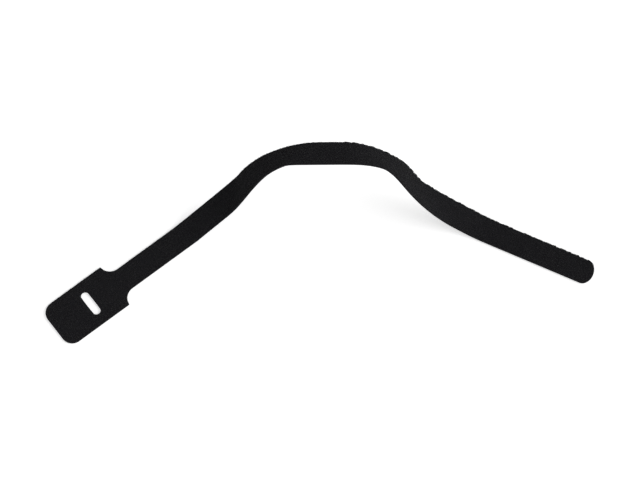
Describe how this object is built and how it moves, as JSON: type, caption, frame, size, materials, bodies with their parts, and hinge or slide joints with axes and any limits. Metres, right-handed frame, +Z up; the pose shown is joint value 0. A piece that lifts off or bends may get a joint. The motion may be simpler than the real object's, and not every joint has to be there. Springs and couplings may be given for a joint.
{
  "type": "hook and loop cable tie",
  "caption": "Die-cut strap of back-to-back hook and loop tape with a wide slotted head, concave shoulders and a round tail, bent up into an arch.",
  "frame": {"origin": "middle of the bounding box in plan, on the surface that the tie stands on, which is the plane of the head's and the tail's underside", "axes": "+X the way the head points, from its end towards the strap, and the longest extent; +Y to the left of that; +Z up, the shortest extent"},
  "size_m": [0.2378, 0.157, 0.0536],
  "materials": {
    "tape": "matt black nylon, loop pile on one face and moulded hooks on the other"
  },
  "bodies": {
    "root": {"strap": "tape"}
  },
  "joints": []
}
